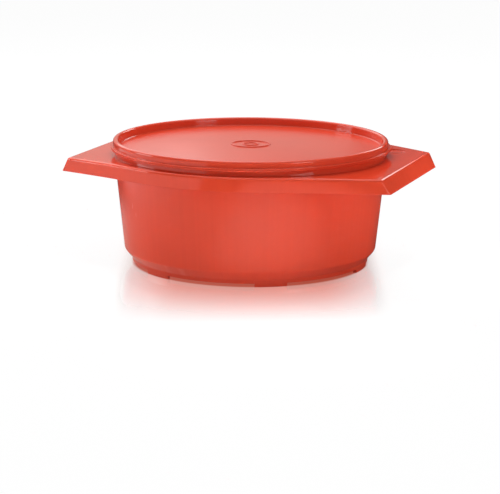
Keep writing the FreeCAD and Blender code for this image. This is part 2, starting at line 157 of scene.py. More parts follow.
# %% [markdown]
# ## The lid's section
#
# The lid is a body of revolution: a flat panel, sunk inside a raised rim that is hollow
# underneath, where it grips the bowl's neck.  Below the rim a lip stands out, with a fine
# groove around its edge that splits its highlight into two lines; below the groove the lip is
# drafted inward a little, so that it catches light from the table.  The panel is not quite
# level: it swells to a low crown, which keeps a wide moulding stiff, and a low round ridge with
# a small ring inside it marks the middle.  A spun profile is the natural way to make all this,
# so the section is written once, from the middle of the top around to the middle of the
# underside.

# %% Sizes of the lid, and of the neck that it closes on
NECK_RADIUS = 114.6
NECK_WALL = 1.6
NECK_TOP = 103.8
DECK = 93.7

NECK_CLEARANCE = 0.3
RIM_ROOF = 1.8
RIM_WALL = 1.1
RIM_ROUNDING = 1.9
LID_TOP = NECK_TOP + RIM_ROOF - SHY
CHANNEL_OUT = NECK_RADIUS + NECK_CLEARANCE
CHANNEL_IN = NECK_RADIUS - NECK_WALL - NECK_CLEARANCE
RIM_OUT = CHANNEL_OUT + RIM_WALL
RIM_IN = CHANNEL_IN - RIM_WALL

LIP_WIDTH = 2.0
LIP_HEIGHT = 2.5
LIP_OVER_DECK = 3.9
LIP_DRAFT = 0.3
GROOVE = 0.5
LIP = RIM_OUT + LIP_WIDTH
LIP_UNDER = DECK + LIP_OVER_DECK
LIP_TOP = LIP_UNDER + LIP_HEIGHT
LIP_MIDDLE = (LIP_UNDER + LIP_TOP) / 2

PANEL_SINK = 6.8
PANEL_SHEET = 1.6
PANEL_LEAN = 0.6
CROWN = 1.7
PANEL = LID_TOP - PANEL_SINK
PANEL_UNDER = PANEL - PANEL_SHEET
PANEL_RADIUS = RIM_IN - PANEL_LEAN
PANEL_STOPS = (30.0, 44.0, 58.0, 72.0, 86.0, 98.0, 107.0)

RIDGE_OUT = 16.8
RIDGE_WIDTH = 1.5
RIDGE_HEIGHT = 0.7
RIDGE_IN = RIDGE_OUT - RIDGE_WIDTH
SMALL_RING_IN = 5.5
SMALL_RING_WIDTH = 1.5
SMALL_RING_HEIGHT = 0.6
SMALL_RING_OUT = SMALL_RING_IN + SMALL_RING_WIDTH
MARK_EASE = 0.2

print("lid is", round(2 * LIP, 1), "mm across its lip, and its rim is", round(RIM_OUT - RIM_IN, 1), "mm wide")

# %% Section of the lid
def panel_at(across):
    """Height of the crowned panel, at a distance from the lid's middle."""
    return PANEL + CROWN * (1 - (across / PANEL_RADIUS) ** 2)


MIDDLE = panel_at(RIDGE_OUT)

lid_section = eased([
    (0, MIDDLE),
    (SMALL_RING_IN, MIDDLE, MARK_EASE),
    (SMALL_RING_IN, MIDDLE + SMALL_RING_HEIGHT, MARK_EASE),
    (SMALL_RING_OUT, MIDDLE + SMALL_RING_HEIGHT, MARK_EASE),
    (SMALL_RING_OUT, MIDDLE, MARK_EASE),
    (RIDGE_IN, MIDDLE, MARK_EASE),
    (RIDGE_IN, MIDDLE + RIDGE_HEIGHT, MARK_EASE),
    (RIDGE_OUT, MIDDLE + RIDGE_HEIGHT, MARK_EASE),
    (RIDGE_OUT, MIDDLE, MARK_EASE),
    *((across, panel_at(across)) for across in PANEL_STOPS),
    (PANEL_RADIUS, PANEL, 0.7),
    (RIM_IN, LID_TOP, RIM_ROUNDING),
    (RIM_OUT, LID_TOP, RIM_ROUNDING),
    (RIM_OUT, LIP_TOP, 0.3),
    (LIP, LIP_TOP, 0.6),
    (LIP, LIP_MIDDLE + GROOVE / 2, 0.15),
    (LIP - GROOVE, LIP_MIDDLE, 0.1),
    (LIP, LIP_MIDDLE - GROOVE / 2, 0.15),
    (LIP - LIP_DRAFT, LIP_UNDER, 0.6),
    (CHANNEL_OUT, LIP_UNDER, 0.25),
    (CHANNEL_OUT, NECK_TOP, 0.3),
    (CHANNEL_IN, NECK_TOP, 0.3),
    (CHANNEL_IN, PANEL_UNDER, 0.5),
    *((across, panel_at(across) - PANEL_SHEET) for across in reversed(PANEL_STOPS)),
    (RIDGE_OUT, MIDDLE - PANEL_SHEET),
    (0, MIDDLE - PANEL_SHEET),
])[1:-1]
print("lid section:", len(lid_section), "points, rim", PANEL_SINK, "mm above the panel")

# %% [markdown]
# ## The pull tab
#
# A thumb finds the lid by a shallow bow that grows out of the lip beside one handle.  It is
# the same arc that a tool maker would mill: part of a smaller circle whose far side lies just
# outside the lip.  It could be a second piece joined on, but here the rings simply swell
# outward where that circle is further out than the lip, and the groove fades away on it.

# %% Spin the section, swelling the lip at the tab
TAB_RADIUS = 34.0
TAB_REACH = 1.6
TAB_TURN = math.radians(16.5)
LID_SPOKES = 432


def tab_swell(turn):
    """How far the lip stands out beyond its circle in a direction around the lid."""
    away = (turn - TAB_TURN + math.pi) % (2 * math.pi) - math.pi
    centre = LIP + TAB_REACH - TAB_RADIUS
    aside = centre * math.sin(away)
    if abs(away) > math.pi / 2 or abs(aside) > TAB_RADIUS:
        return 0.0
    return max(0.0, centre * math.cos(away) + math.sqrt(TAB_RADIUS ** 2 - aside ** 2) - LIP)


def lid_ring(across, up):
    """One ring of the lid, from one point of its section."""
    ring = []
    for spoke in range(LID_SPOKES):
        turn = 2 * math.pi * spoke / LID_SPOKES
        swell = tab_swell(turn)
        pull = max(0.0, min(1.0, (across - RIM_OUT) / (LIP - GROOVE - RIM_OUT)))
        in_groove = pull > 0.9 and abs(up - LIP_MIDDLE) < GROOVE / 2
        fill = min(1.0, swell / TAB_REACH) * (LIP - across) if in_groove else 0.0
        radius = across + swell * pull + fill
        ring.append(Vector((radius * math.cos(turn), radius * math.sin(turn), up)))
    return ring


lid = skin_from_rings(
    "warmer_lid",
    [lid_ring(across, up) for across, up in lid_section],
    Vector((0, 0, MIDDLE)),
    Vector((0, 0, MIDDLE - PANEL_SHEET)),
)
print("tab stands out", round(tab_swell(TAB_TURN), 2), "mm; lid has", len(lid.data.polygons), "faces")

# %% [markdown]
# ## The flange, as the path of a ball
#
# The flange is round at the front and back.  Its straight sides leave that circle along its
# tangents and end in two splayed end faces, the handles.  The whole top outline has one
# rounding, and so have the four corners.  The neat way to describe such a shape is the path of
# the ball that would roll along inside its edge: the ball's centre goes along a six-sided line,
# and the skin is wherever the ball touches.  At a corner the centre stops while the ball turns,
# so three roundings meet in one smooth patch, which a bevel tool often tears.
#
# A quarter of the outline is described by stations, each a run (end, corner, side or arc) and
# a share along it.

# %% Where the ball's centre is, and which way the skirt faces
SIDE_TAPER = math.radians(24.6)
END_SPLAY = math.radians(30.5)
FLANGE_OUT = 6.9
FLANGE_RADIUS = NECK_RADIUS + FLANGE_OUT - SHY
HANDLE_REACH = 143.8
SKIRT = 11.9
FLANGE_WALL = 2.1
BALL = 2.2

SQUARE = math.pi / 2
CREASE_REACH = HANDLE_REACH - SKIRT * math.tan(END_SPLAY)
BALL_REACH = CREASE_REACH - BALL * math.tan((SQUARE - END_SPLAY) / 2)
BALL_RADIUS = FLANGE_RADIUS - BALL


def side_line(x):
    """How far back the ball's path is on a straight side, that far along the handles."""
    return (BALL_RADIUS - x * math.sin(SIDE_TAPER)) / math.cos(SIDE_TAPER)


def ball_centre(run, share, slide=0.0):
    """The ball's centre in plan; slide follows the skirt down from the rounding."""
    corner_x = BALL_REACH + slide * math.tan(END_SPLAY)
    corner = Vector((corner_x, side_line(corner_x)))
    touch = Vector((math.sin(SIDE_TAPER), math.cos(SIDE_TAPER))) * BALL_RADIUS
    if run == "end":
        return Vector((corner.x, corner.y * share))
    if run == "corner":
        return corner
    if run == "side":
        return corner.lerp(touch, share)
    turn = SQUARE - SIDE_TAPER * (1 - share)
    return Vector((math.cos(turn), math.sin(turn))) * BALL_RADIUS


def skirt_facing(run, share):
    """The direction that the skirt faces at a station."""
    end = Vector((math.cos(END_SPLAY), 0, math.sin(END_SPLAY)))
    side = Vector((math.sin(SIDE_TAPER), math.cos(SIDE_TAPER), 0))
    if run == "end":
        return end
    if run == "corner":
        return end.slerp(side, share)
    if run == "side":
        return side
    turn = SQUARE - SIDE_TAPER * (1 - share)
    return Vector((math.cos(turn), math.sin(turn), 0))


print("handle end is", round(2 * side_line(BALL_REACH), 1), "mm wide between the balls")

# %% [markdown]
# ## Stations around the flange
#
# The foot ring under the bowl is cut away between six feet, and each foot starts and stops
# with a clean step.  For a step, two stations have to lie almost on top of each other at the
# right direction.  So besides the even spacing along each run, a pair of stations is added at
# every foot edge, found by asking where a line from the middle at that direction crosses the
# outline.

# %% Lay out a quarter, then mirror it
FOOT_COUNT = 6
FOOT_SPACING = 2 * math.pi / FOOT_COUNT
FOOT_ARC = math.radians(15.5)
STEP_WIDTH = math.radians(0.02)
RUN_STEPS = {"end": 14, "corner": 10, "side": 44, "arc": 18}
NEAREST_SHARE = 0.006


def outline_point(run, share):
    """A point of the outline in plan, where the rounding has become skirt."""
    facing = skirt_facing(run, share)
    return ball_centre(run, share) + BALL * facing.xy


def station_towards(turn):
    """The station that lies in a direction of the first quarter, but not in a corner."""
    sight = Vector((math.cos(turn), math.sin(turn)))
    for run in ("end", "side"):
        first = outline_point(run, 0)
        last = outline_point(run, 1)
        share = sight.cross(first) / sight.cross(first - last)
        if 0 <= share <= 1:
            return run, share
    return "arc", (turn - SQUARE + SIDE_TAPER) / SIDE_TAPER


quarter = []
for run, steps in RUN_STEPS.items():
    first_step = 0 if run == "end" else 1
    quarter += [(run, step / steps) for step in range(first_step, steps + 1)]
for edge in (FOOT_ARC / 2, FOOT_SPACING - FOOT_ARC / 2, FOOT_SPACING + FOOT_ARC / 2):
    pair = [station_towards(edge + nudge) for nudge in (-STEP_WIDTH, STEP_WIDTH)]
    crowded = [there for there in quarter
               if there[0] == pair[0][0] and abs(there[1] - pair[0][1]) < NEAREST_SHARE]
    quarter = [there for there in quarter if there not in crowded] + pair
order = list(RUN_STEPS)
quarter.sort(key=lambda there: (order.index(there[0]), there[1]))

stations = []
for across, along in ((1, 1), (-1, 1), (-1, -1), (1, -1)):
    whole = quarter if across == along else quarter[::-1]
    stations += [(run, share, across, along) for run, share in whole[:-1]]
print(len(quarter), "stations in a quarter,", len(stations), "around the flange")

# %% [markdown]
# ## Rings of the flange and rings of the bowl
#
# Two kinds of ring are needed.  A flange ring asks the ball where it touches: turn goes from 0,
# straight up on the deck, to 1, square to the skirt, and slide carries it down the skirt.  The
# same ring with a smaller ball is the inside of the skirt, one wall thickness in.  A bowl ring
# is a circle whose points lie in the directions of the stations.  The deck is very slightly
# arched along the handles, so every flange height is measured down from that arch.

# %% The two kinds of ring
DROOP = 2.5
ARCH = (CREASE_REACH ** 2 + DROOP ** 2) / (2 * DROOP)


def deck_at(x):
    """Height of the deck, that far along the handles."""
    return DECK - ARCH + math.sqrt(ARCH ** 2 - x * x)


def flange_point(station, turn, slide, ball):
    """The place where a ball touches the flange's skin."""
    run, share, across, along = station
    touch = Vector((0, 0, 1)).slerp(skirt_facing(run, share), turn)
    centre = ball_centre(run, share, slide)
    x = (centre.x + ball * touch.x) * across
    y = (centre.y + ball * touch.y) * along
    return Vector((x, y, deck_at(x) - BALL - slide + ball * touch.z))


def flange_ring(turn=1.0, slide=0.0, ball=BALL):
    """A ring of the rounding, or just below it."""
    return [flange_point(station, turn, slide, ball) for station in stations]


def skirt_ring(drop, ball=BALL):
    """A ring of the skirt, all at one depth below the deck."""
    return [flange_point(station, 1.0, drop - BALL + ball * skirt_facing(*station[:2]).z, ball)
            for station in stations]


def direction_of(station):
    """The direction of a station, seen from the middle of the bowl."""
    run, share, across, along = station
    place = outline_point(run, share)
    return math.atan2(place.y * along, place.x * across)


turns = [direction_of(station) for station in stations]


def bowl_ring(radius, height):
    """A round ring; radius and height are numbers, or follow the direction or the place."""
    ring = []
    for turn in turns:
        out = radius(turn) if callable(radius) else radius
        x = out * math.cos(turn)
        up = height(turn, x) if callable(height) else height
        ring.append(Vector((x, out * math.sin(turn), up)))
    return ring


print("deck droops", round(DECK - deck_at(CREASE_REACH), 2), "mm at the handles' ends")
print("directions rise all the way round:",
      all((b - a) % (2 * math.pi) < 0.1 for a, b in zip(turns, turns[1:])))

# %% [markdown]
# ## Underside and foot ring
#
# Under the bowl a plain flat floor sits inside a low ring.  The ring has draft, so that it
# leaves the mould, and it is relieved between the feet.  Its lower edge is eased by a few
# tenths, as a polished mould leaves it: that gives each foot its thin bright line.

# %% Rings of the underside
WALL = 2.2
BOWL_FOOT = 106.7
BEVEL_TOP = 13.4
BEVEL_ANGLE = math.radians(40)
RING_INSET = 6.2
RING = BOWL_FOOT - RING_INSET
BEVEL_BOTTOM = BEVEL_TOP - RING_INSET / math.tan(BEVEL_ANGLE)
RING_DRAFT = math.tan(math.radians(5))
RING_WALL = 2.6
FOOT_HEIGHT = 2.8
FLOOR_UNDER = 5.0
FLOOR_STOPS = (25, 60, 90)
EASE = 0.35

RING_FOOT = RING - BEVEL_BOTTOM * RING_DRAFT
RING_BORE = RING_FOOT - RING_WALL
RING_TOP = FOOT_HEIGHT + 2 * EASE


def ring_level(turn):
    """How low the foot ring reaches in a direction."""
    from_foot = abs((turn + FOOT_SPACING / 2) % FOOT_SPACING - FOOT_SPACING / 2)
    return 0.0 if from_foot < FOOT_ARC / 2 else FOOT_HEIGHT


def ring_side(turn, rise):
    """Outside of the foot ring, that far above its lower edge."""
    return RING_FOOT + (ring_level(turn) + rise) * RING_DRAFT


def eased_edge(steps=4):
    """A quarter round of the ring's edge: pairs of the way still to go across and down."""
    bends = [SQUARE * step / steps for step in range(steps + 1)]
    return [(EASE * (1 - math.cos(bend)), EASE * (1 - math.sin(bend))) for bend in bends]


underside = [bowl_ring(radius, FLOOR_UNDER) for radius in FLOOR_STOPS]
underside += [bowl_ring(place.x, place.y) for place in eased([
    (94, FLOOR_UNDER), (RING_BORE, FLOOR_UNDER, 0.5), (RING_BORE, RING_TOP)])]
for inward, rise in eased_edge():
    underside.append(bowl_ring(RING_BORE + inward, lambda turn, x, r=rise: ring_level(turn) + r))
for rise, inward in eased_edge():
    underside.append(bowl_ring(lambda turn, i=inward, r=rise: ring_side(turn, r) - i,
                               lambda turn, x, r=rise: ring_level(turn) + r))
print(len(underside), "rings under the bowl")

# %% [markdown]
# ## The bowl's wall
#
# The wall leaves the foot ring in a bevel, turns up through a soft rounding and then leans
# outward a little, so that the bowl too comes off its mould.  It runs up under the flange and
# meets its flat underside.

# %% Rings of the outer wall
NECK_FOOT = DECK - DROOP - FLANGE_WALL
BOWL_ROUNDING = 4.5

wall = [bowl_ring(place.x, place.y) for place in eased([
    (ring_side(0, RING_TOP), RING_TOP),
    (RING, BEVEL_BOTTOM, 0.4),
    (BOWL_FOOT, BEVEL_TOP, BOWL_ROUNDING),
    (NECK_RADIUS, NECK_FOOT),
], steps=8)]


def along_deck(places):
    """Round rings whose heights are measured from the arched deck."""
    return [bowl_ring(place.x, lambda turn, x, up=place.y: deck_at(x) + up) for place in places]


wall += along_deck(eased([
    (NECK_RADIUS, -FLANGE_WALL - 0.7),
    (NECK_RADIUS, -FLANGE_WALL, 0.4),
    (NECK_RADIUS + 0.8, -FLANGE_WALL)]))
print(len(wall), "rings up the wall")

# %% [markdown]
# ## Flange and handles
#
# From the wall the skin goes out under the handles, down the inside of the skirt, around its
# lower edge, up the outside, over the rounding and back in along the deck to the neck.

# %% Rings of the flange
INNER_BALL = BALL - FLANGE_WALL
ROUNDING_STEPS = 10
UNDER_SHARES = (0.3, 0.6, 0.9)
DECK_SHARES = (0.98, 0.85, 0.7, 0.5, 0.3, 0.15)
INNER_DROPS = (5, 9)
OUTER_DROPS = (SKIRT - EASE - HOLD, 9, 6, 4)
ROOT_REACH = 1.5
ROOT_ROUNDING = 0.8


def deck_between(inner, outer, share, up):
    """A ring part of the way across the deck or its underside."""
    ring = [near.lerp(far, share) for near, far in zip(inner, outer)]
    return [Vector((place.x, place.y, deck_at(place.x) + up)) for place in ring]


under_edge = flange_ring(turn=0, ball=INNER_BALL)
flange = [deck_between(wall[-1], under_edge, share, -FLANGE_WALL) for share in UNDER_SHARES]
flange += [flange_ring(turn=turn, ball=INNER_BALL) for turn in (0, 0.5, 1)]
flange += [skirt_ring(drop, INNER_BALL) for drop in INNER_DROPS]
flange += [skirt_ring(SKIRT - rise, INNER_BALL + inward) for inward, rise in eased_edge()]
flange += [skirt_ring(SKIRT - rise, BALL - inward) for rise, inward in eased_edge()]
flange += [skirt_ring(drop) for drop in OUTER_DROPS]
flange += [flange_ring(slide=HOLD)]
flange += [flange_ring(turn=1 - step / ROUNDING_STEPS) for step in range(ROUNDING_STEPS + 1)]

neck_foot = along_deck(eased([
    (NECK_RADIUS + ROOT_REACH, 0),
    (NECK_RADIUS, 0, ROOT_ROUNDING),
    (NECK_RADIUS, ROOT_REACH)]))
for share in DECK_SHARES:
    flange.append(deck_between(neck_foot[0], flange_ring(turn=0), share, 0))
flange += neck_foot
print(len(flange), "rings around the flange")

# %% [markdown]
# ## Neck and inside
#
# Above the deck a short straight neck carries the lid.  Its top edges are eased.  Inside, the
# wall follows the outside at one wall thickness and sweeps into the floor.

# %% Rings of the neck and the inside
FLOOR_SHEET = 2.4
FLOOR_ROUNDING = 4
NECK_EASE = 0.5
FLOOR = FLOOR_UNDER + FLOOR_SHEET
BEVEL_WALL = WALL / math.cos(BEVEL_ANGLE)
INSIDE_BEVEL_TOP = BEVEL_TOP + (BEVEL_WALL - WALL) / math.tan(BEVEL_ANGLE)
FLOOR_RADIUS = RING - BEVEL_WALL + (FLOOR - BEVEL_BOTTOM) * math.tan(BEVEL_ANGLE)

inside = [bowl_ring(place.x, place.y) for place in eased([
    (NECK_RADIUS, DECK + 3),
    (NECK_RADIUS, NECK_TOP, NECK_EASE),
    (NECK_RADIUS - NECK_WALL, NECK_TOP, NECK_EASE),
    (NECK_RADIUS - NECK_WALL, NECK_FOOT, 1),
    (BOWL_FOOT - WALL, INSIDE_BEVEL_TOP, FLOOR_ROUNDING),
    (FLOOR_RADIUS, FLOOR, FLOOR_ROUNDING),
    (90, FLOOR),
    (60, FLOOR),
    (20, FLOOR),
], steps=6)]

base = skin_from_rings(
    "warmer_base",
    underside + wall + flange + inside,
    Vector((0, 0, FLOOR_UNDER)),
    Vector((0, 0, FLOOR)),
)
print("base has", len(base.data.vertices), "points and", len(base.data.polygons), "faces")

# %% [markdown]
# ## Cutting and adding with solids
#
# Two details cross the rings instead of following them: a shallow dish in one handle, which
# gives a thumb room beside the pull tab, and low ribs on the floor that hold the food off any
# moisture.  Drawing them into the rings would bend every ring for the sake of one spot.  A
# boolean is better here, the same step that a mould maker takes: a shaped tool is taken away
# from the skin, or added to it.

# %% A helper for both
def apply_tool(piece, tool, operation):
    """Change a piece by a solid tool, and put the tool away."""
    change = piece.modifiers.new(operation, "BOOLEAN")
    change.operation = operation
    change.solver = "EXACT"
    change.object = tool
    shaped = piece.evaluated_get(bpy.context.evaluated_depsgraph_get())
    data = bpy.data.meshes.new_from_object(shaped)
    piece.modifiers.clear()
    piece.data = data
    bpy.data.objects.remove(tool)


print("before any tool:", len(base.data.polygons), "faces")

# %% [markdown]
# ## The dish in the handle
#
# The dish is round, but a circle around the neck cuts its inner side short.  So its outline is
# walked from a hub that lies inside it: in each direction the outline is wherever the first of
# the two circles is met.  The side of the dish steps inward ring by ring, gently at the floor
# and steeply at the deck, as a cutter with a rounded end leaves it.

# %% Outline of the dish
DISH_RADIUS = 11.3
DISH_REACH = 19.1
DISH_AWAY = NECK_RADIUS + DISH_REACH - DISH_RADIUS
DISH_ROOT = NECK_RADIUS + 1.6
DISH_HUB = 124.5
DISH_TURN = math.radians(28.1)
DISH_DEPTH = 1.0
TOOL_SPOKES = 144

to_dish = Vector((math.cos(DISH_TURN), math.sin(DISH_TURN), 0))
dish_middle = DISH_AWAY * to_dish
dish_hub = DISH_HUB * to_dish
dish_floor = deck_at(dish_middle.x) - DISH_DEPTH


def reach_to_circle(start, way, centre, radius, side):
    """How far a level line runs until it crosses a circle; side picks the far or near crossing."""
    ahead = (centre - start).dot(way)
    short = radius ** 2 - (centre - start).length_squared + ahead ** 2
    return ahead + side * math.sqrt(short) if short > 0 else math.inf


def dish_ring(inset, up):
    """The dish's outline, a given width inside its edge: a disc, less the disc around the neck."""
    ring = []
    for spoke in range(TOOL_SPOKES):
        turn = 2 * math.pi * spoke / TOOL_SPOKES
        way = Vector((math.cos(turn), math.sin(turn), 0))
        far_side = reach_to_circle(dish_hub, way, dish_middle, DISH_RADIUS - inset, 1)
        near_side = reach_to_circle(dish_hub, way, Vector(), DISH_ROOT + inset, -1)
        reach = far_side if near_side < 0 else min(far_side, near_side)
        ring.append(dish_hub + reach * way + Vector((0, 0, up)))
    return ring


print("dish floor is", round(dish_floor, 2), "mm up,", DISH_DEPTH, "mm deep")

# %% Cut the dish
OVER_DECK = 3
# Rings of the dish's side, from its floor up: width inside the edge, share of the depth.
DISH_SIDE = ((0.8, 0), (0.5, 0.08), (0.3, 0.3), (0.2, 0.6), (0.1, 1.1))

tool_top = dish_floor + DISH_DEPTH + OVER_DECK
dish_rings = [dish_ring(inset, dish_floor + share * DISH_DEPTH) for inset, share in DISH_SIDE]
dish_rings.append(dish_ring(DISH_SIDE[-1][0], tool_top))
dish_tool = skin_from_rings("dish_tool", dish_rings, dish_hub + Vector((0, 0, dish_floor)),
                            dish_hub + Vector((0, 0, tool_top)))
apply_tool(base, dish_tool, "DIFFERENCE")
print("with the dish:", len(base.data.polygons), "faces")

# %% [markdown]
# ## Ribs on the floor
#
# Each rib is a low loaf: rounded ends, straight sides and an eased top.  It starts inside the
# floor so that the two solids truly overlap, and each union leaves one clean skin.

# %% Twelve ribs, one union each
RIB_COUNT = 12
RIB_INNER = 26.0
RIB_OUTER = FLOOR_RADIUS - 17.0
RIB_WIDTH = 2.4
RIB_HEIGHT = 1.2
RIB_ROOT = FLOOR - 1
RIB_TOP = FLOOR + RIB_HEIGHT
# The eased top of a rib: width inside its side, depth below its top.
RIB_EASE = ((0, 0.45), (0.06, 0.22), (0.22, 0.06), (0.45, 0))
END_SPOKES = 8


def rib_ring(turn, inset, up):
    """A level line around one rib."""
    half = RIB_WIDTH / 2
    ring = []
    for centre, first in ((RIB_OUTER - half, -SQUARE), (RIB_INNER + half, SQUARE)):
        for spoke in range(END_SPOKES + 1):
            bend = first + math.pi * spoke / END_SPOKES
            ring.append(Vector((centre + (half - inset) * math.cos(bend),
                                (half - inset) * math.sin(bend), up)))
    return [Matrix.Rotation(turn, 3, "Z") @ place for place in ring]


for rib in range(RIB_COUNT):
    turn = 2 * math.pi * rib / RIB_COUNT
    middle = Matrix.Rotation(turn, 3, "Z") @ Vector(((RIB_INNER + RIB_OUTER) / 2, 0, 0))
    rib_rings = [rib_ring(turn, 0, RIB_ROOT)]
    rib_rings += [rib_ring(turn, inset, RIB_TOP - depth) for inset, depth in RIB_EASE]
    rib_tool = skin_from_rings("rib_tool", rib_rings, middle + Vector((0, 0, RIB_ROOT)),
                               middle + Vector((0, 0, RIB_TOP)))
    apply_tool(base, rib_tool, "UNION")
print("with the ribs:", len(base.data.polygons), "faces")

# %% [markdown]
# ## Smooth shading with true edges
#
# Smooth shading blends the facets of a rounding into one curve.  Where two faces meet at a real
# corner, such as the step of a foot, the blend has to stop, so edges sharper than a limit are
# marked.

# %% Shade both pieces, and hide the imported pieces that they stand in for
TRUE_EDGE = math.radians(35)

for piece, body in ((base, "base"), (lid, "lid")):
    piece.data.shade_smooth()
    piece.data.set_sharp_from_angle(angle=TRUE_EDGE)
    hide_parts(body)
    print(piece.name, "size in mm:", [round(side / MM, 1) for side in piece.dimensions])

# %% [markdown]
# ## Coral polypropylene
#
# The plastic is opaque polypropylene, coloured right through.  Its finish could be a picture
# wrapped around each piece, but a picture would not stay sharp on a close look, so it is made
# from noise that is fixed to the piece.  Such a finish is a tree of nodes, each wired to the
# next.  Wiring them one by one would repeat the same few lines many times, so the steps that
# come back have a short helper each.

# %% Small helpers for shader trees
GRID = 220


def node(tree, kind, place, **settings):
    """A shader node at a place in the tree, with some of its settings or inputs filled in."""
    made = tree.nodes.new(kind)
    made.location = (place[0] * GRID, -place[1] * GRID)
    for name, content in settings.items():
        if hasattr(made, name):
            setattr(made, name, content)
        else:
            made.inputs[name.replace("_", " ").title()].default_value = content
    return made


def ranged(tree, source, span, levels, place, smooth=False):
    """A value carried over from one span to another, and held at both ends."""
    step = node(tree, "ShaderNodeMapRange", place, interpolation_type="SMOOTHSTEP" if smooth else "LINEAR")
    for name, content in zip(("From Min", "From Max", "To Min", "To Max"), (*span, *levels)):
        step.inputs[name].default_value = content
    tree.links.new(source, step.inputs["Value"])
    return step.outputs["Result"]


def joined(tree, operation, first, second, place):
    """Two values put together by one step of arithmetic."""
    step = node(tree, "ShaderNodeMath", place, operation=operation)
    tree.links.new(first, step.inputs[0])
    tree.links.new(second, step.inputs[1])
    return step.outputs["Value"]


def tinted(tree, amount, plain, colour, place):
    """White, or another plain colour, turned by an amount into a given colour."""
    mixed = node(tree, "ShaderNodeMix", place, data_type="RGBA")
    mixed.inputs[6].default_value = (1, 1, 1, 1)
    if plain:
        tree.links.new(plain, mixed.inputs[6])
    mixed.inputs[7].default_value = colour
    tree.links.new(amount, mixed.inputs["Factor"])
    return mixed.outputs[2]


def noise(tree, vector, place, **settings):
    """How strong a noise is at a place of the piece."""
    made = node(tree, "ShaderNodeTexNoise", place, **settings)
    tree.links.new(vector, made.inputs["Vector"])
    return made.outputs["Fac"]


print("helpers:", ", ".join(helper.__name__ for helper in (node, ranged, joined, tinted, noise)))

# %% [markdown]
# ## The colour of the plastic
#
# The coral drifts by a few percent over some centimetres, as the melt cools unevenly, and faint
# streaks of pigment follow the flow outward from the middle, where the mould is fed.  The
# narrow roundings along the edges are a touch paler, where wear starts.  The narrow creases get
# a painted shade: a deeper red is painted into the colour there, where hardly any light gets in
# or out.  Edges and creases could be painted by hand; the geometry node's Pointiness finds both
# by itself, because the rings are close together there.

# %% Coral, with paler worn edges and painted shade in the creases
PIGMENT_DRIFT = (0.955, 1.045)
STREAK_SHARE = 0.3
WORN_SPAN = (0.53, 0.66)
WORN_SHARE = 0.35
WORN_CORAL = (0.80, 0.12, 0.07, 1)
# Painted shade: the narrow creases are darkened in the colour itself, standing in for the shade that falls in
# them.
CREASE_SHADE_SPAN = (0.49, 0.43)
CREASE_SHADE_SHARE = 0.7
PAINTED_CREASE_SHADE = (0.36, 0.020, 0.010, 1)


def coral_colour(tree, where, cloud, colour):
    """The colour of the plastic at a place of the piece, with painted shade in its creases."""
    spun = node(tree, "ShaderNodeTexGradient", (-5, 2), gradient_type="RADIAL")
    tree.links.new(where, spun.inputs["Vector"])
    streak = node(tree, "ShaderNodeTexNoise", (-4, 2), noise_dimensions="1D", Scale=150.0, Detail=2.0)
    tree.links.new(spun.outputs["Color"], streak.inputs["W"])
    pigment = node(tree, "ShaderNodeMix", (-3, 1), data_type="FLOAT")
    pigment.inputs["Factor"].default_value = STREAK_SHARE
    tree.links.new(cloud, pigment.inputs[2])
    tree.links.new(streak.outputs["Fac"], pigment.inputs[3])
    shade = node(tree, "ShaderNodeValToRGB", (-2, 1))
    for stop, position, drift in zip(shade.color_ramp.elements, (0.25, 0.75), PIGMENT_DRIFT):
        stop.position = position
        stop.color = (*[min(1, drift * part) for part in colour], 1)
    tree.links.new(pigment.outputs[0], shade.inputs["Fac"])

    edge = node(tree, "ShaderNodeNewGeometry", (-4, -1)).outputs["Pointiness"]
    worn = ranged(tree, edge, WORN_SPAN, (0, WORN_SHARE), (-3, -1))
    paler = tinted(tree, worn, shade.outputs["Color"], WORN_CORAL, (-1, 1))
    # painted shade: a deeper red wherever Pointiness finds a crease
    crease_shade = ranged(tree, edge, CREASE_SHADE_SPAN, (0, CREASE_SHADE_SHARE), (-3, -2))
    return tinted(tree, crease_shade, paler, PAINTED_CREASE_SHADE, (0, 1))


print("coral drifts between", PIGMENT_DRIFT[0], "and", PIGMENT_DRIFT[1], "of its colour")

# %% [markdown]
# ## Satin and polish
#
# The flange of the bowl and the raised rim of the lid are polished, while the wall below and
# the panel inside are satin.  The polished parts mirror the lamps as clean lines, and the satin
# ones spread them into soft fields.  Within each, some patches are slightly smoother and some
# slightly rougher, and handling leaves a few hairline rubs.  Two materials on each piece would
# do it too, but their border could only follow the faces.  Here one roughness changes over
# about a millimetre, at a height or at a distance from the middle.

# %% Roughness over the piece
HAIRLINE_TURN = (0.3, 0.2, 0.9)
HAIRLINE_STRETCH = (900, 14, 60)
HAIRLINE_SPAN = (0.70, 0.78)
HAIRLINE_ROUGHNESS = 0.05
POLISHED_SHARE = 0.38
POLISH_EDGE = 0.0012


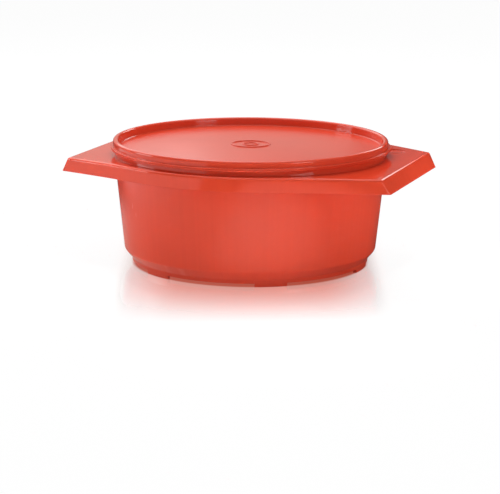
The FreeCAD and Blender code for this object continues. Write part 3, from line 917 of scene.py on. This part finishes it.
def satin_and_polish(tree, where, cloud, sheens, polished, seed):
    """Roughness: satin within a distance, polished beyond it, with rubs on both."""
    stretched = node(tree, "ShaderNodeMapping", (-4, 3))
    stretched.inputs["Rotation"].default_value = (*HAIRLINE_TURN[:2], HAIRLINE_TURN[2] + seed)
    stretched.inputs["Scale"].default_value = HAIRLINE_STRETCH
    tree.links.new(where, stretched.inputs["Vector"])
    rub = noise(tree, stretched.outputs["Vector"], (-3, 3), Scale=1.0, Detail=1.0)
    hairline = ranged(tree, rub, HAIRLINE_SPAN, (0, HAIRLINE_ROUGHNESS), (-2, 3))
    sheen = ranged(tree, cloud, (0, 1), sheens, (-2, 2))

    directions, start = polished
    measured = node(tree, "ShaderNodeVectorMath", (-4, 2), operation="MULTIPLY")
    measured.inputs[1].default_value = directions
    tree.links.new(where, measured.inputs[0])
    distance = node(tree, "ShaderNodeVectorMath", (-3, 2), operation="LENGTH")
    tree.links.new(measured.outputs[0], distance.inputs[0])
    polishing = ranged(tree, distance.outputs["Value"], (start, start + POLISH_EDGE),
                       (1, POLISHED_SHARE), (-2, 2.5), smooth=True)
    return joined(tree, "MULTIPLY", joined(tree, "ADD", sheen, hairline, (-1, 3)), polishing, (-1, 2))


print("polish takes roughness down to", POLISHED_SHARE, "of the satin's")

# %% [markdown]
# ## Ripple and grain
#
# A moulded skin is never quite true: it has a very shallow ripple, a couple of centimetres
# long, and a much finer grain.  Both are a few hundredths of a millimetre deep or less, far too
# little to be worth points in the mesh, so they only tilt the shading.

# %% Bump of the skin
RIPPLES_A_METRE = 55.0
GRAINS_A_METRE = 2600.0


def ripple_and_grain(tree, sample):
    """The tilt of the skin at a place of the piece."""
    ripple = noise(tree, sample, (-3, 4), Scale=RIPPLES_A_METRE, Detail=1.0)
    grain = noise(tree, sample, (-3, 5), Scale=GRAINS_A_METRE, Detail=2.0)
    shallow = node(tree, "ShaderNodeBump", (-1, 4), Strength=0.35, Distance=0.00006)
    fine = node(tree, "ShaderNodeBump", (0, 4), Strength=0.10, Distance=0.000012)
    tree.links.new(ripple, shallow.inputs["Height"])
    tree.links.new(grain, fine.inputs["Height"])
    tree.links.new(shallow.outputs["Normal"], fine.inputs["Normal"])
    return fine.outputs["Normal"]


print("ripples are about", round(1 / RIPPLES_A_METRE / MM), "mm apart")

# %% [markdown]
# ## Mixing the two plastics
#
# A little light passes into the plastic before it comes out again, so a small amount of
# subsurface scattering keeps the shadows in the same warm red.  Bowl and lid are moulded apart
# from the same coral, so one recipe serves both, with a colour a hair apart, a sheen of its own
# and another sample of the noise for each.

# %% The recipe, and the plastic of each piece
def moulded_plastic(name, colour, sheens, polished, seed):
    """Through-coloured polypropylene with a satin and a polished part."""
    material = bpy.data.materials.new(name)
    material.use_nodes = True
    tree = material.node_tree
    plastic = tree.nodes["Principled BSDF"]
    plastic.inputs["IOR"].default_value = 1.49
    plastic.inputs["Specular IOR Level"].default_value = 0.42
    plastic.inputs["Subsurface Weight"].default_value = 0.06
    plastic.inputs["Subsurface Radius"].default_value = (1.0, 0.18, 0.10)
    plastic.inputs["Subsurface Scale"].default_value = 0.0015

    where = node(tree, "ShaderNodeTexCoord", (-6, 1)).outputs["Object"]
    shifted = node(tree, "ShaderNodeMapping", (-5, 1))
    shifted.inputs["Location"].default_value = (seed, 2 * seed, 3 * seed)
    tree.links.new(where, shifted.inputs["Vector"])
    sample = shifted.outputs["Vector"]
    cloud = noise(tree, sample, (-4, 0), Scale=18.0, Detail=3.0, Roughness=0.45)
    tree.links.new(coral_colour(tree, where, cloud, colour), plastic.inputs["Base Color"])
    roughness = satin_and_polish(tree, where, cloud, sheens, polished, seed)
    tree.links.new(roughness, plastic.inputs["Roughness"])
    tree.links.new(ripple_and_grain(tree, sample), plastic.inputs["Normal"])
    return material


BOWL_CORAL = (0.735, 0.061, 0.024)
LID_CORAL = (0.740, 0.063, 0.026)
BOWL_SHEEN = (0.16, 0.25)
LID_SHEEN = (0.17, 0.26)
# Where the polish starts: the directions that are measured, and how far along them in metres.
FLANGE_POLISH = ((0, 0, 1), 0.0800)
RIM_POLISH = ((1, 1, 0), 0.1100)
coral_bowl = moulded_plastic("coral_polypropylene_bowl", BOWL_CORAL, BOWL_SHEEN, FLANGE_POLISH, 0.0)
coral_lid = moulded_plastic("coral_polypropylene_lid", LID_CORAL, LID_SHEEN, RIM_POLISH, 0.7)
print("mixed", coral_bowl.name, "and", coral_lid.name)

# %% Give each piece its plastic and its body
for piece, material, body in ((base, coral_bowl, "base"), (lid, coral_lid, "lid")):
    piece.data.materials.clear()
    piece.data.materials.append(material)
    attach(piece, body)
    print(piece.name, "rides on", body)

# %% [markdown]
# ## The camera
#
# The object stands turned a little, one handle towards the viewer, and is seen from slightly
# above with a long lens, as for a catalogue.  The long lens keeps the sides of the bowl nearly
# parallel.  The camera is placed by its distance and height in real units, then turned to the
# object, tipped down, and rolled by a hair.

# %% Stand the camera
LOOK = math.radians(20.13)
TIP = math.radians(12.364)
ROLL = math.radians(0.357)
CAMERA_AWAY = 1.7535
CAMERA_HEIGHT = 0.3958
FOCAL_PIXELS = 2103.6
PICTURE_WIDTH = 500

view = bpy.data.cameras.new("catalogue_view")
view.sensor_fit = "HORIZONTAL"
view.sensor_width = 36.0
view.lens = FOCAL_PIXELS * view.sensor_width / PICTURE_WIDTH
camera = bpy.data.objects.new("catalogue_view", view)
bpy.context.scene.collection.objects.link(camera)
bpy.context.scene.camera = camera
camera.location = (CAMERA_AWAY * math.sin(LOOK), -CAMERA_AWAY * math.cos(LOOK), CAMERA_HEIGHT)
aim = (Matrix.Rotation(LOOK, 3, "Z") @ Matrix.Rotation(SQUARE - TIP, 3, "X")
       @ Matrix.Rotation(ROLL, 3, "Z"))
camera.rotation_euler = aim.to_euler()
print("lens", round(view.lens, 1), "mm, seen from", round(math.degrees(LOOK), 1), "degrees")

# %% [markdown]
# ## Seen, mirrored and lighting rays
#
# The table and the room each play three parts.  The camera should see them as a plain white
# page.  The gloss of the plastic should mirror them as large bright and dark fields, because
# those fields draw its curves.  And as lighting they should be what they are: a white table
# top and a dim room.  A Light Path node tells the rays apart, so each part can be set by itself.

# %% Small helpers for the stage's shaders
def blended(tree, share, first, second, place):
    """Two shaders in one; the share of the second is a number, or comes from another node."""
    mix = node(tree, "ShaderNodeMixShader", place)
    if isinstance(share, float):
        mix.inputs[0].default_value = share
    else:
        tree.links.new(share, mix.inputs[0])
    tree.links.new(first, mix.inputs[1])
    tree.links.new(second, mix.inputs[2])
    return mix.outputs["Shader"]


def fading(tree, source, span, level, place):
    """The level where the source is low, softly down to 0 over a span of the source."""
    return ranged(tree, source, span, (level, 0), place, smooth=True)


def soft_spot(tree, vector, centre, spread, edge, level, place):
    """The level inside an oval, 0 outside it, with a soft edge."""
    local = node(tree, "ShaderNodeVectorMath", place, operation="SUBTRACT")
    local.inputs[1].default_value = (*centre, 0)
    scaled = node(tree, "ShaderNodeVectorMath", (place[0] + 1, place[1]), operation="DIVIDE")
    scaled.inputs[1].default_value = (*spread, 1)
    away = node(tree, "ShaderNodeVectorMath", (place[0] + 2, place[1]), operation="LENGTH")
    tree.links.new(vector, local.inputs[0])
    tree.links.new(local.outputs[0], scaled.inputs[0])
    tree.links.new(scaled.outputs[0], away.inputs[0])
    return fading(tree, away.outputs["Value"], (1 - edge, 1 + edge), level, (place[0] + 3, place[1]))


print("helpers:", ", ".join(helper.__name__ for helper in (blended, fading, soft_spot)))

# %% [markdown]
# ## The table
#
# The table top is one large square.  It is turned with the camera, so that across and away are
# its own two directions, and its finish can be set out along them.

# %% Build the table top
TABLE_REACH = 6.0

top_data = bpy.data.meshes.new("table_top")
top_data.from_pydata([(-TABLE_REACH, -TABLE_REACH, 0), (TABLE_REACH, -TABLE_REACH, 0),
                      (TABLE_REACH, TABLE_REACH, 0), (-TABLE_REACH, TABLE_REACH, 0)],
                     [], [(0, 1, 2, 3)])
table = bpy.data.objects.new("table_top", top_data)
table.rotation_euler.z = LOOK
bpy.context.scene.collection.objects.link(table)
table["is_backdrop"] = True
print("table top", 2 * TABLE_REACH, "m square")

# %% [markdown]
# ## The table in the gloss
#
# In the gloss of the plastic the table shows as bright pools of light painted on it, in front
# and to the left, with darker table between and beyond, and a painted red tint close to the bowl
# stands for the light that the bowl throws on the table.  Lamps could make such pools, but they
# would light the wall above them as well.  An emission that only the gloss meets draws the
# reflections and leaves the lighting alone.

# %% Pools of light for the gloss
PAINTED_RED_BOUNCE_TINT = (1.0, 0.66, 0.58, 1)
RED_BOUNCE_TINT_FADE = (0.10, 0.34)
DARK_TABLE = 0.08
# Each pool of light: its middle, how far it spreads, how soft its edge is, how bright it is.
POOLS = (
    ((0.045, -0.480), (0.135, 0.125), 0.05, 1.0),
    ((-0.620, -0.150), (0.330, 0.640), 0.04, 1.0),
    ((0.050, -0.225), (0.150, 0.120), 0.45, 1.15),
    ((-0.150, -0.050), (0.180, 0.240), 0.40, 0.6),
)


def mirrored_table(tree, where, radius):
    """What the gloss of the plastic mirrors of the table: painted pools of light, reddened near the bowl."""
    bright = soft_spot(tree, where, *POOLS[0], (-4, -2))
    for row, pool in enumerate(POOLS[1:], start=3):
        spot = soft_spot(tree, where, *pool, (-4, -row))
        bright = joined(tree, "MAXIMUM", bright, spot, (0, -row))
    brightness = node(tree, "ShaderNodeMath", (1, -2), operation="MULTIPLY_ADD")
    tree.links.new(bright, brightness.inputs[0])
    brightness.inputs[1].default_value = 1 - DARK_TABLE
    brightness.inputs[2].default_value = DARK_TABLE
    # painted light: the pools turn red close to the bowl, standing in for the red light it throws on the
    # table
    warm = fading(tree, radius, RED_BOUNCE_TINT_FADE, 1, (-3, 0))
    mirrored = node(tree, "ShaderNodeEmission", (2, -1))
    tree.links.new(brightness.outputs["Value"], mirrored.inputs["Strength"])
    tree.links.new(tinted(tree, warm, None, PAINTED_RED_BOUNCE_TINT, (0, -1)), mirrored.inputs["Color"])
    return mirrored.outputs["Emission"]


print(len(POOLS), "pools of light on the table")

# %% [markdown]
# ## The table as it is seen
#
# To the camera the table is mostly plain white.  Close to the foot ring a red glow is painted on
# the white, standing in for the red light that the bowl throws down on it, and under the bowl a
# deep red shade is painted, as the gaps between the feet show.  In front of the bowl and behind it
# there is a trace of polish: there the table mirrors the red wall for a few centimetres, and the
# mirroring dies away with distance.

# %% A white page, a painted red glow, painted shade under the bowl and a trace of polish
PAGE_SHARE = 0.95
# Painted light and shade: a red glow standing in for the light the bowl throws down, and a deep red shade
# under the bowl.
PAINTED_RED_GLOW = (1.0, 0.42, 0.35, 1)
PAINTED_GLOW_FADE = (0.080, 0.240)
PAINTED_GLOW_WIDTH = (0.055, 0.120)
PAINTED_SHADE_UNDER_BOWL = (0.66, 0.105, 0.060, 1)
PAINTED_SHADE_FADE = (0.0975, 0.1015)
POLISH = 0.36
POLISH_FADE = (0.090, 0.250)
POLISH_WIDTH = (0.096, 0.112)


def along_the_view(tree, radius, across, spans, level, row):
    """A level that dies away with distance from the bowl, and at its width to either side."""
    nearby = fading(tree, radius, spans[0], level, (-3, row))
    within = fading(tree, across, spans[1], 1, (-3, row + 1))
    return joined(tree, "MULTIPLY", nearby, within, (-2, row))


def seen_table(tree, where, radius, matt):
    """What the camera sees of the table, with painted red light around the foot ring and painted shade under
    the bowl.
    """
    parts = node(tree, "ShaderNodeSeparateXYZ", (-5, 4))
    tree.links.new(where, parts.inputs[0])
    to_side = node(tree, "ShaderNodeMath", (-4, 4), operation="ABSOLUTE")
    tree.links.new(parts.outputs["X"], to_side.inputs[0])
    across = to_side.outputs["Value"]
    # painted light: the red glow close to the foot ring
    painted_glow = along_the_view(tree, radius, across, (PAINTED_GLOW_FADE, PAINTED_GLOW_WIDTH), 1, 1)
    strength = along_the_view(tree, radius, across, (POLISH_FADE, POLISH_WIDTH), POLISH, 3)
    # painted shade: the deep red under the bowl
    under = fading(tree, radius, PAINTED_SHADE_FADE, 1, (-2, 2))

    page = node(tree, "ShaderNodeEmission", (2, 1))
    with_painted_glow = tinted(tree, painted_glow, None, PAINTED_RED_GLOW, (0, 1))
    tree.links.new(tinted(tree, under, with_painted_glow, PAINTED_SHADE_UNDER_BOWL, (1, 1)), page.inputs["Color"])
    lit_page = blended(tree, PAGE_SHARE, matt, page.outputs["Emission"], (3, 1))
    polish = node(tree, "ShaderNodeBsdfGlossy", (2, 2), Roughness=0.10)
    polish.inputs["Color"].default_value = (1, 1, 1, 1)
    return blended(tree, strength, lit_page, polish.outputs["BSDF"], (4, 2))


print("the page is", PAGE_SHARE, "of what the camera sees of the table")

# %% Finish the table top
TABLE_WHITE = (0.92, 0.92, 0.92, 1)


def table_finish():
    """Matt white for the lamps, pools of light for the gloss, a white page with painted light and shade for
    the camera.
    """
    material = bpy.data.materials.new("white_table")
    material.use_nodes = True
    tree = material.node_tree
    tree.nodes.clear()
    where = node(tree, "ShaderNodeTexCoord", (-6, 0)).outputs["Object"]
    from_middle = node(tree, "ShaderNodeVectorMath", (-4, 3), operation="LENGTH")
    tree.links.new(where, from_middle.inputs[0])
    radius = from_middle.outputs["Value"]
    white = node(tree, "ShaderNodeBsdfDiffuse", (2, 0))
    white.inputs["Color"].default_value = TABLE_WHITE
    matt = white.outputs["BSDF"]

    path = node(tree, "ShaderNodeLightPath", (3, -2)).outputs
    gloss = blended(tree, path["Is Glossy Ray"], matt, mirrored_table(tree, where, radius), (5, 0))
    seen = seen_table(tree, where, radius, matt)
    out = node(tree, "ShaderNodeOutputMaterial", (7, 1))
    tree.links.new(blended(tree, path["Is Camera Ray"], gloss, seen, (6, 1)), out.inputs["Surface"])
    return material


table.data.materials.append(table_finish())
print("table finish:", table.data.materials[0].name)

# %% [markdown]
# ## The room
#
# The room is a dim white for lighting, and dimmer still above the camera, so that surfaces
# that face the viewer are lit by the table more than from above.  For the camera it is white.
# For the gloss it is grey, with a dark flag far back on the right, which keeps that side of
# the bowl from washing out.

# %% Light the room
ROOM_FILL = 0.70
FRONT_FILL = 0.32
FRONT_RISE = math.radians(40)
ROOM_MIRROR = 0.24
FLAG_MIRROR = 0.03
FLAG_TOWARDS = math.radians(130)


def from_camera(turn, rise=0.0):
    """A direction in the room: turn is 0 towards the camera and grows to its right."""
    heading = LOOK - SQUARE + turn
    return Vector((math.cos(heading) * math.cos(rise), math.sin(heading) * math.cos(rise), math.sin(rise)))


room = bpy.data.worlds.new("studio_room")
room.use_nodes = True
bpy.context.scene.world = room
tree = room.node_tree
link = tree.links.new
air = tree.nodes["Background"]
air.inputs["Color"].default_value = (1, 1, 1, 1)
sight = node(tree, "ShaderNodeTexCoord", (-6, 0))


def level_by_direction(towards, edges, levels, place):
    """One level around a direction and another elsewhere; edges are angles from it."""
    facing = node(tree, "ShaderNodeVectorMath", place, operation="DOT_PRODUCT")
    facing.inputs[1].default_value = towards
    link(sight.outputs["Generated"], facing.inputs[0])
    near, far = [math.cos(math.radians(edge)) for edge in edges]
    return ranged(tree, facing.outputs["Value"], (far, near), levels[::-1],
                  (place[0] + 1, place[1]), smooth=True)


fill = level_by_direction(from_camera(0, FRONT_RISE), (30, 75), (FRONT_FILL, ROOM_FILL), (-5, 1))
mirror = level_by_direction(from_camera(FLAG_TOWARDS), (30, 55), (FLAG_MIRROR, ROOM_MIRROR), (-5, 0))
rays = node(tree, "ShaderNodeLightPath", (-5, -1))
for_gloss = node(tree, "ShaderNodeMix", (-3, 0), data_type="FLOAT")
link(rays.outputs["Is Glossy Ray"], for_gloss.inputs[0])
link(fill, for_gloss.inputs[2])
link(mirror, for_gloss.inputs[3])
for_camera = node(tree, "ShaderNodeMix", (-2, 0), data_type="FLOAT")
for_camera.inputs[3].default_value = 1.0
link(rays.outputs["Is Camera Ray"], for_camera.inputs[0])
link(for_gloss.outputs[0], for_camera.inputs[2])
link(for_camera.outputs[0], air.inputs["Strength"])
print("room fill", ROOM_FILL, "of white")

# %% [markdown]
# ## The lamps
#
# Two large soft boxes hang behind and overhead and light the lid and the deck.  A low cream
# card stands behind the bowl; the level surfaces are seen so flatly that they mirror it, which
# gives the lid its even sheen.  Smaller boxes stand on the left, in front on the right, and
# behind on the right, where the crease of the right handle picks the last one up as a line.
# Three narrow lamps light only patches of the table beside the bowl.  The table throws their
# light up onto the wall, which is how a wall under an overhang gets lighter towards its foot.

# %% Hang the soft boxes
BOWL_MIDDLE = Vector((0, 0, 0.07))
CREAM = (1.0, 0.94, 0.82)


def soft_box(name, turn, rise, away, width, height, level, tint=(1, 1, 1)):
    """A lamp that faces the bowl; level is how bright its face is, where 1 is white."""
    lamp = bpy.data.lights.new(name, "AREA")
    lamp.shape = "RECTANGLE"
    lamp.size = width
    lamp.size_y = height
    lamp.color = tint
    lamp.energy = level * math.pi * width * height
    box = bpy.data.objects.new(name, lamp)
    bpy.context.scene.collection.objects.link(box)
    box.location = BOWL_MIDDLE + from_camera(math.radians(turn), math.radians(rise)) * away
    box.rotation_euler = (box.location - BOWL_MIDDLE).to_track_quat("Z", "Y").to_euler()
    print(name, "at", [round(side, 2) for side in box.location], "watts", round(lamp.energy, 1))
    return box


soft_box("soft_box_behind", turn=210, rise=40, away=1.4, width=1.45, height=1.2, level=1.75)
soft_box("soft_box_overhead", turn=180, rise=80, away=1.3, width=1.2, height=1.2, level=1.95)
soft_box("cream_card_behind", turn=202, rise=10.5, away=1.37, width=1.46, height=0.38, level=0.28,
         tint=CREAM)
soft_box("soft_box_front", turn=42, rise=8, away=1.5, width=0.5, height=0.45, level=4.3)
soft_box("soft_box_right_behind", turn=156, rise=25, away=1.5, width=0.6, height=0.32, level=3.4)
soft_box("soft_box_left", turn=264, rise=10, away=1.5, width=0.5, height=0.45, level=5.4)

# %% Light three patches of the table
BOUNCE_SPREAD = math.radians(10)


def bounce_lamp(name, turn, floor_distance, level):
    """A narrow lamp that lights a patch of the table beside the bowl, and not the bowl."""
    box = soft_box(name, turn=turn, rise=70, away=1.3, width=0.10, height=0.10, level=level)
    patch = from_camera(math.radians(turn)) * floor_distance
    box.rotation_euler = (box.location - patch).to_track_quat("Z", "Y").to_euler()
    box.data.spread = BOUNCE_SPREAD


bounce_lamp("bounce_front", turn=5, floor_distance=0.24, level=6.0)
bounce_lamp("bounce_left", turn=300, floor_distance=0.25, level=14.0)
bounce_lamp("bounce_right", turn=76, floor_distance=0.25, level=8.0)

# %% [markdown]
# ## Picture settings and the dressed sizes
#
# The Standard view shows a colour as it was mixed.  The box of the dressed part is printed, axis
# by axis.

# %% Standard colours, sizes, and done
bpy.context.scene.view_settings.view_transform = "Standard"
dressed_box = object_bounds()
for axis, low, high in zip("xyz", *dressed_box):
    print("dressed", axis, "from", round(low / MM, 2), "to", round(high / MM, 2), "mm")
